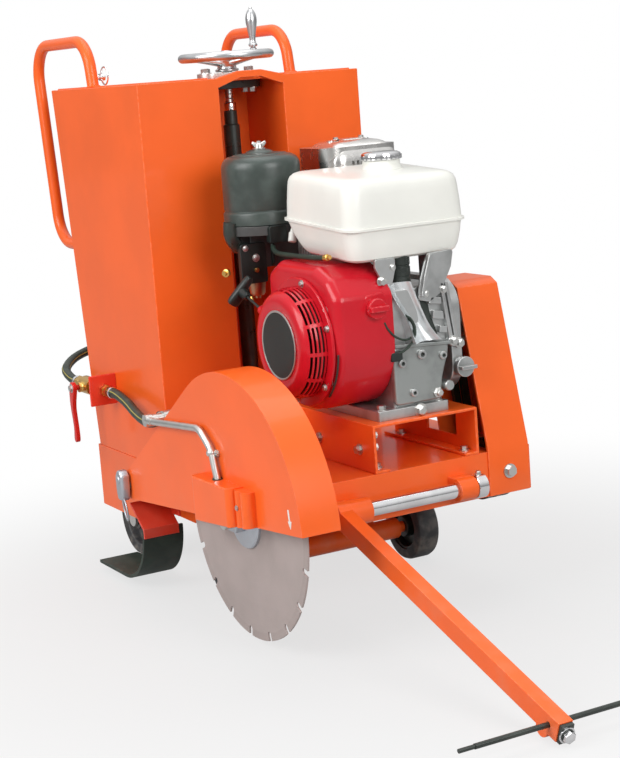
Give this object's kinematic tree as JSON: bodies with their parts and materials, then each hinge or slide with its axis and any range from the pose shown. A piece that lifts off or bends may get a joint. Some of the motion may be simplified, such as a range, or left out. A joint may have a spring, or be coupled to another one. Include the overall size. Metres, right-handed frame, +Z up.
{
  "type": "walk-behind concrete saw",
  "caption": "Walk-behind concrete saw: tower console with water tank, petrol engine, belt-driven blade in a hinged guard, depth handwheel, handles, wheels and folding pointer.",
  "frame": {"origin": "floor level at the centre of the base of the bounding box", "axes": "+X forward toward the pointer, +Y to the left of the machine, +Z up"},
  "size_m": [1.5766, 0.565, 1.0265],
  "materials": {
    "orange_paint": "gloss orange powder coat",
    "red_paint": "gloss red paint",
    "tank_paint": "gloss off-white paint",
    "bright_steel": "zinc-plated steel",
    "chrome": "chrome-plated steel",
    "muffler_steel": "bare sheet steel",
    "blade_steel": "ground saw steel",
    "cast_alloy": "cast light alloy",
    "black_iron": "black-painted iron",
    "black_plastic": "satin black plastic",
    "carburettor_alloy": "dark cast alloy",
    "black_rubber": "black rubber sheet",
    "wheel_rubber": "black solid rubber",
    "hose_rubber": "green hose with yellow stripes",
    "brass": "turned brass"
  },
  "bodies": {
    "chassis": {"chassis_frame": "orange_paint", "engine_platform": "orange_paint", "frame_bolts": "bright_steel", "console": "orange_paint", "screw_bearing": "bright_steel", "handle_right": "orange_paint", "handle_left": "orange_paint", "handle_pin": "chrome", "belt_guard": "orange_paint", "v_belts": "black_rubber", "blade_bearings": "black_iron", "pivot_rod": "chrome", "axle_shafts": "bright_steel", "crankcase": "cast_alloy", "side_cover": "cast_alloy", "cylinder_head": "cast_alloy", "fan_shroud": "red_paint", "recoil_cover": "red_paint", "fuel_tank": "tank_paint", "air_cover": "black_plastic", "wing_nut": "bright_steel", "carburettor": "carburettor_alloy", "muffler": "muffler_steel", "muffler_guard": "chrome", "engine_bolts": "bright_steel", "valve_bracket": "orange_paint", "water_valve": "brass", "hose_supply": "hose_rubber", "hose_fittings": "bright_steel", "guard_pin": "chrome", "flap_bracket": "orange_paint", "rubber_flap": "black_rubber", "hose_guard": "hose_rubber"},
    "handwheel": {"handwheel": "cast_alloy", "lift_screw": "bright_steel"},
    "hand_knob": {"hand_knob": "chrome"},
    "nut_tube": {"lift_tube": "black_iron"},
    "rocker": {"front_axle": "orange_paint"},
    "front_wheel_right": {"front_tyre_right": "wheel_rubber", "front_hub_right": "cast_alloy"},
    "front_wheel_left": {"front_tyre_left": "wheel_rubber", "front_hub_left": "cast_alloy"},
    "rear_wheel_right": {"rear_wheel_right": "wheel_rubber"},
    "rear_wheel_left": {"rear_wheel_left": "wheel_rubber"},
    "spindle": {"blade_shaft": "bright_steel", "blade": "blade_steel", "blade_flange": "bright_steel", "driven_pulley": "black_iron"},
    "crankshaft": {"crankshaft": "bright_steel"},
    "blade_guard": {"guard_shell": "orange_paint", "guard_pipe": "chrome", "guard_fitting": "bright_steel"},
    "pointer": {"pointer_arm": "orange_paint", "pointer_clamp": "black_iron"},
    "pointer_rod": {"pointer_rod": "black_iron"},
    "fuel_cap": {"fuel_cap": "chrome"},
    "oil_cap": {"oil_cap": "cast_alloy"},
    "engine_switch": {"engine_switch": "red_paint"},
    "recoil_grip": {"recoil_grip": "black_plastic"},
    "valve_lever": {"valve_lever": "red_paint"}
  },
  "joints": [
    {"name": "handwheel_turn", "type": "hinge", "parent": "chassis", "child": "handwheel", "pos_m": [-0.35753, 0.0395, 0.91], "axis": [0, 0, 1], "range_deg": [-1080, 3600]},
    {"name": "nut_slide", "type": "slide", "parent": "chassis", "child": "nut_tube", "axis": [0, 0, 1], "range_m": [-0.081, 0.0245]},
    {"name": "rocker_swing", "type": "hinge", "parent": "chassis", "child": "rocker", "pos_m": [-0.24553, 0.0495, 0.15], "axis": [0, -1, 0], "range_deg": [-12, 38.5]},
    {"name": "knob_spin", "type": "hinge", "parent": "handwheel", "child": "hand_knob", "pos_m": [-0.38859, 0.11268, 0.953], "axis": [0, 0, 1], "continuous": true},
    {"name": "front_right_roll", "type": "hinge", "parent": "rocker", "child": "front_wheel_right", "pos_m": [-0.13153, -0.1345, 0.062], "axis": [0, 1, 0], "continuous": true},
    {"name": "front_left_roll", "type": "hinge", "parent": "rocker", "child": "front_wheel_left", "pos_m": [-0.13153, 0.2335, 0.062], "axis": [0, 1, 0], "continuous": true},
    {"name": "rear_right_roll", "type": "hinge", "parent": "chassis", "child": "rear_wheel_right", "pos_m": [-0.51553, -0.1345, 0.075], "axis": [0, 1, 0], "continuous": true},
    {"name": "rear_left_roll", "type": "hinge", "parent": "chassis", "child": "rear_wheel_left", "pos_m": [-0.51553, 0.2335, 0.075], "axis": [0, 1, 0], "continuous": true},
    {"name": "blade_spin", "type": "hinge", "parent": "chassis", "child": "spindle", "pos_m": [0.12247, -0.1885, 0.212], "axis": [0, 1, 0], "continuous": true},
    {"name": "crank_spin", "type": "hinge", "parent": "chassis", "child": "crankshaft", "pos_m": [0.06047, 0.1695, 0.467], "axis": [0, 1, 0], "continuous": true},
    {"name": "guard_swing", "type": "hinge", "parent": "chassis", "child": "blade_guard", "pos_m": [-0.29253, -0.2215, 0.197], "axis": [0, -1, 0], "range_deg": [0, 75], "deforming": ["hose_guard"]},
    {"name": "pointer_fold", "type": "hinge", "parent": "chassis", "child": "pointer", "pos_m": [0.20747, -0.0815, 0.208], "axis": [0, -1, 0], "range_deg": [0, 105]},
    {"name": "pointer_rod_slide", "type": "slide", "parent": "pointer", "child": "pointer_rod", "axis": [0, 1, 0], "range_m": [-0.04, 0.04]},
    {"name": "lever_turn", "type": "hinge", "parent": "chassis", "child": "valve_lever", "pos_m": [-0.56153, -0.2255, 0.338], "axis": [0, 1, 0], "range_deg": [0, 90]},
    {"name": "fuel_cap_turn", "type": "hinge", "parent": "chassis", "child": "fuel_cap", "pos_m": [0.04747, 0.11, 0.74], "axis": [0, 0, 1], "range_deg": [0, 90]},
    {"name": "oil_cap_turn", "type": "hinge", "parent": "chassis", "child": "oil_cap", "pos_m": [0.16647, 0.1705, 0.403], "axis": [1, 0, 0], "range_deg": [0, 720]},
    {"name": "switch_turn", "type": "hinge", "parent": "chassis", "child": "engine_switch", "pos_m": [0.17577, 0.0035, 0.522], "axis": [1, 0, 0], "range_deg": [0, 60]},
    {"name": "recoil_pull", "type": "slide", "parent": "chassis", "child": "recoil_grip", "axis": [-0.9404, 0, 0.3401], "range_m": [0, 0.05], "stiffness_N_per_m": 300, "springref_m": -0.05}
  ],
  "couplings": [
    {"joint": "nut_slide", "follows": "handwheel_turn", "m_per_rad": -0.0012732},
    {"joint": "rocker_swing", "follows": "handwheel_turn", "ratio": 0.010582},
    {"joint": "crank_spin", "follows": "blade_spin", "ratio": 1.3492}
  ]
}
